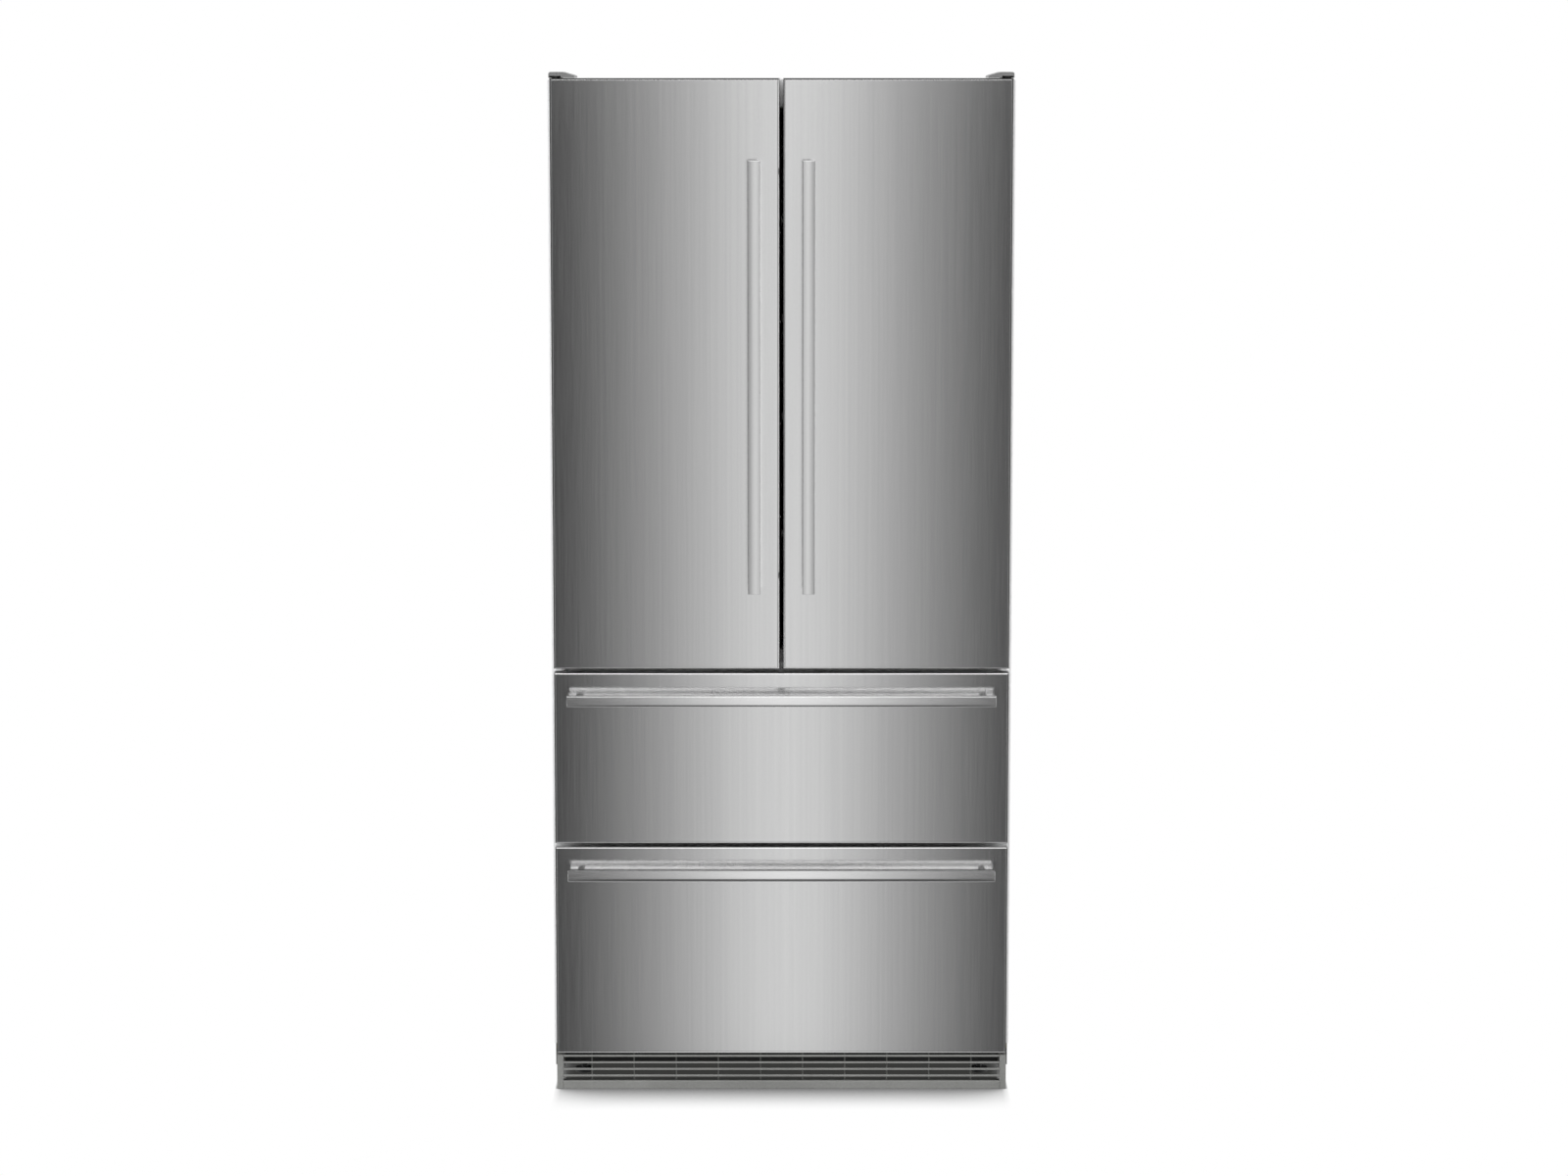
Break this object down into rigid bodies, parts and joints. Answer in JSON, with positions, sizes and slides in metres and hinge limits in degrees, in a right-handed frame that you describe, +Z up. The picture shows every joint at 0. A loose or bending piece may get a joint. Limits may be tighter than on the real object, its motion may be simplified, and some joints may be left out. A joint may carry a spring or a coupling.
{
  "type": "refrigerator",
  "caption": "Tall stainless refrigerator with side-by-side doors over pull-out freezer drawers, bar handles, louvred plinth, glass shelves, crispers and rear machine space.",
  "frame": {"origin": "on the floor, under the middle of the whole box, handles included", "axes": "+Z up, the fronts and handles face -Y, +X to the right of someone facing the fronts"},
  "size_m": [0.91, 0.682, 2.01],
  "materials": {
    "stainless": "brushed stainless steel",
    "handle_steel": "brushed stainless bar",
    "cabinet_grey": "pale grey painted sheet",
    "zinc": "zinc-plated sheet",
    "foam": "rigid foam",
    "liner_white": "white moulded liner",
    "clear_plastic": "clear moulded plastic",
    "seal": "black magnetic seal",
    "mullion_dark": "dark moulded bar",
    "shelf_glass": "tempered glass",
    "light_lens": "frosted lens",
    "hinge_black": "black painted steel",
    "cover_grey": "grey moulded cover",
    "plinth_grey": "grey moulded grille",
    "rubber": "black rubber",
    "compressor_black": "black enamel",
    "fins": "bare aluminium",
    "fan_plastic": "black moulded plastic"
  },
  "bodies": {
    "cabinet": {"cabinet_shell": "cabinet_grey", "rear_panel": "zinc", "cabinet_insulation": "foam", "fridge_liner": "liner_white", "freezer_liner": "liner_white", "cross_rails": "cabinet_grey", "base_pan": "hinge_black", "front_feet": "rubber", "plinth_grille": "plinth_grey", "top_hinges": "hinge_black", "top_hinge_covers": "cover_grey", "middle_hinges": "cabinet_grey", "outer_rails": "zinc", "compressor": "compressor_black", "compressor_mounts": "rubber", "condenser": "fins", "drip_tray": "fan_plastic", "fan_shroud": "fan_plastic", "machine_cover": "zinc", "evaporator": "fins", "freezer_air_cover": "liner_white", "fridge_air_duct": "liner_white", "light_panel": "light_lens", "shelf_frames": "liner_white", "glass_shelves": "shelf_glass"},
    "left_door": {"left_door_skin": "stainless", "left_door_panel": "liner_white", "left_door_gasket": "seal", "left_door_bins": "clear_plastic", "left_door_handle": "handle_steel", "left_handle_posts": "handle_steel"},
    "right_door": {"right_door_skin": "stainless", "right_door_panel": "liner_white", "right_door_gasket": "seal", "right_door_bins": "clear_plastic", "right_door_handle": "handle_steel", "right_handle_posts": "handle_steel"},
    "mullion": {"flip_mullion": "mullion_dark"},
    "upper_drawer": {"upper_drawer_skin": "stainless", "upper_drawer_panel": "liner_white", "upper_drawer_gasket": "seal", "upper_drawer_handle": "handle_steel", "upper_handle_posts": "handle_steel", "upper_inner_rails": "zinc", "upper_basket": "liner_white"},
    "upper_slides": {"upper_mid_rails": "zinc"},
    "lower_drawer": {"lower_drawer_skin": "stainless", "lower_drawer_panel": "liner_white", "lower_drawer_gasket": "seal", "lower_drawer_handle": "handle_steel", "lower_handle_posts": "handle_steel", "lower_inner_rails": "zinc", "lower_basket": "liner_white"},
    "lower_slides": {"lower_mid_rails": "zinc"},
    "left_crisper": {"crisper_left": "clear_plastic"},
    "right_crisper": {"crisper_right": "clear_plastic"},
    "machine_fan": {"condenser_fan": "fan_plastic"},
    "cold_fan": {"freezer_fan": "fan_plastic"},
    "left_roller": {"rear_roller_left": "rubber"},
    "right_roller": {"rear_roller_right": "rubber"}
  },
  "joints": [
    {"name": "left_door_hinge", "type": "hinge", "parent": "cabinet", "child": "left_door", "pos_m": [-0.4385, -0.262, 1.4], "axis": [0, 0, -1], "range_deg": [0, 110]},
    {"name": "right_door_hinge", "type": "hinge", "parent": "cabinet", "child": "right_door", "pos_m": [0.4385, -0.262, 1.4], "axis": [0, 0, 1], "range_deg": [0, 110]},
    {"name": "mullion_flip", "type": "hinge", "parent": "left_door", "child": "mullion", "pos_m": [-0.026, -0.2067, 1.4], "axis": [0, 0, 1], "range_deg": [0, 90]},
    {"name": "upper_drawer_slide", "type": "slide", "parent": "cabinet", "child": "upper_drawer", "axis": [0, -1, 0], "range_m": [0, 0.42]},
    {"name": "upper_slide_members", "type": "slide", "parent": "cabinet", "child": "upper_slides", "axis": [0, -1, 0], "range_m": [0, 0.21]},
    {"name": "lower_drawer_slide", "type": "slide", "parent": "cabinet", "child": "lower_drawer", "axis": [0, -1, 0], "range_m": [0, 0.42]},
    {"name": "lower_slide_members", "type": "slide", "parent": "cabinet", "child": "lower_slides", "axis": [0, -1, 0], "range_m": [0, 0.21]},
    {"name": "left_crisper_slide", "type": "slide", "parent": "cabinet", "child": "left_crisper", "axis": [0, -1, 0], "range_m": [0, 0.055]},
    {"name": "right_crisper_slide", "type": "slide", "parent": "cabinet", "child": "right_crisper", "axis": [0, -1, 0], "range_m": [0, 0.055]},
    {"name": "machine_fan_spin", "type": "hinge", "parent": "cabinet", "child": "machine_fan", "pos_m": [0.003, 0.2355, 0.118], "axis": [1, 0, 0], "continuous": true},
    {"name": "cold_fan_spin", "type": "hinge", "parent": "cabinet", "child": "cold_fan", "pos_m": [0, 0.2425, 0.734], "axis": [0, 1, 0], "continuous": true},
    {"name": "left_roller_spin", "type": "hinge", "parent": "cabinet", "child": "left_roller", "pos_m": [-0.395, 0.279, 0.024], "axis": [1, 0, 0], "continuous": true},
    {"name": "right_roller_spin", "type": "hinge", "parent": "cabinet", "child": "right_roller", "pos_m": [0.395, 0.279, 0.024], "axis": [1, 0, 0], "continuous": true}
  ],
  "couplings": [
    {"joint": "upper_slide_members", "follows": "upper_drawer_slide", "ratio": 0.5},
    {"joint": "lower_slide_members", "follows": "lower_drawer_slide", "ratio": 0.5}
  ]
}
